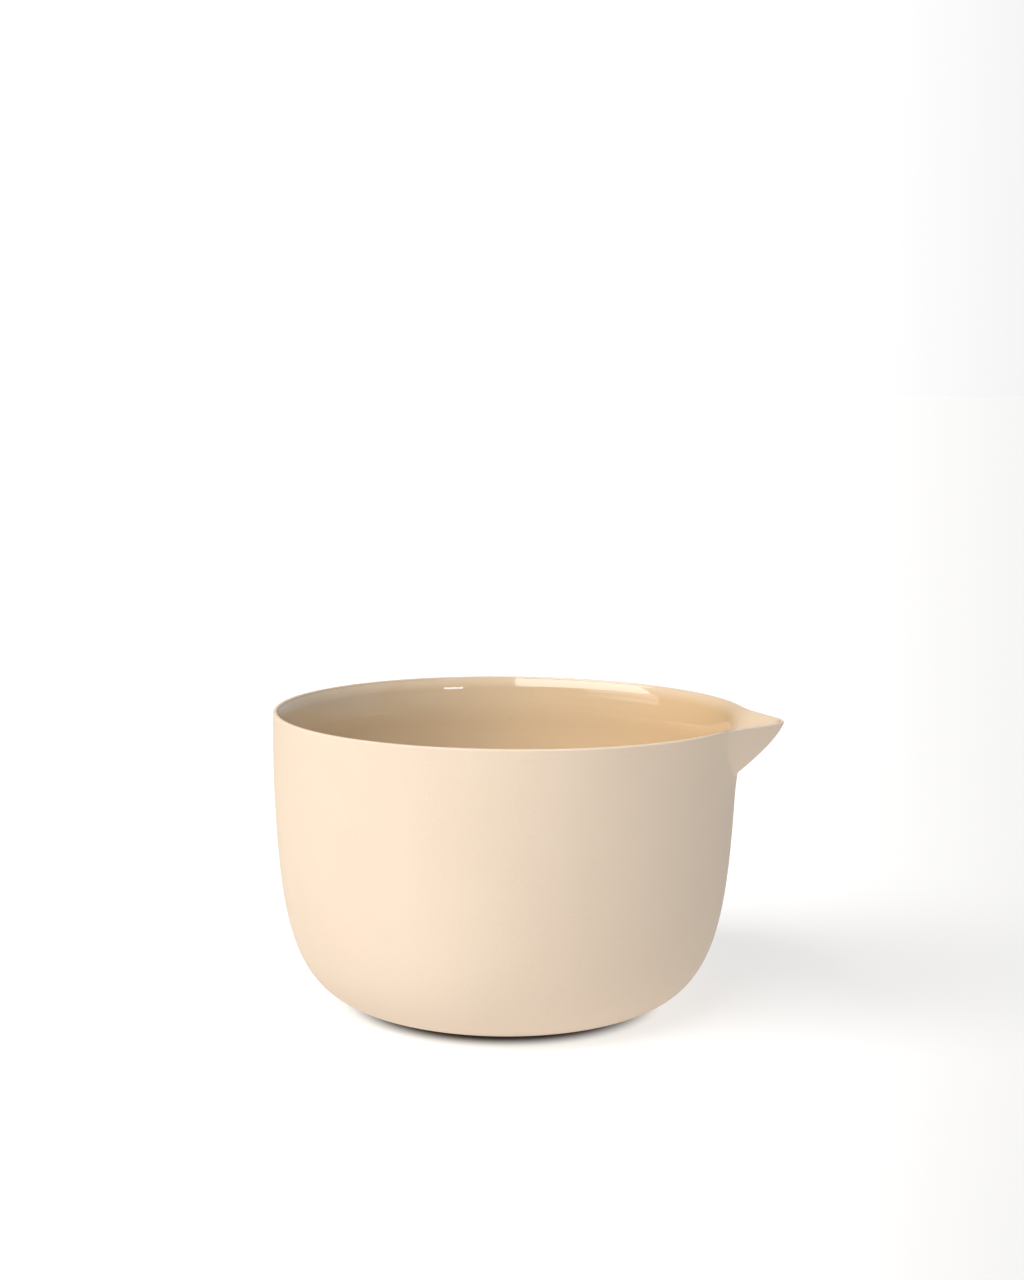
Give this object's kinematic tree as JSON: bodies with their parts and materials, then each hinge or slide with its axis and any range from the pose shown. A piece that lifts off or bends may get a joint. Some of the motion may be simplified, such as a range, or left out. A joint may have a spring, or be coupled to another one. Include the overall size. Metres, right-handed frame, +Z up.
{
  "type": "mixing bowl",
  "caption": "Deep round stoneware mixing bowl with a small folded pouring spout, matt outside and glazed inside, on a low flat foot.",
  "frame": {"origin": "on the bowl's axis, at the centre of the flat face of the foot that it stands on", "axes": "+X from the bowl's axis towards the pouring spout, +Z up out of the bowl's mouth, +Y completes the right-handed frame"},
  "size_m": [0.2423, 0.22, 0.142],
  "materials": {
    "matte_stoneware": "matt unglazed",
    "bare_foot": "ground, unglazed",
    "clear_glaze": "gloss"
  },
  "bodies": {
    "root": {"bowl_body": "matte_stoneware", "pouring_spout": "matte_stoneware", "foot": "bare_foot", "bowl_glaze": "clear_glaze", "spout_glaze": "clear_glaze"}
  },
  "joints": []
}
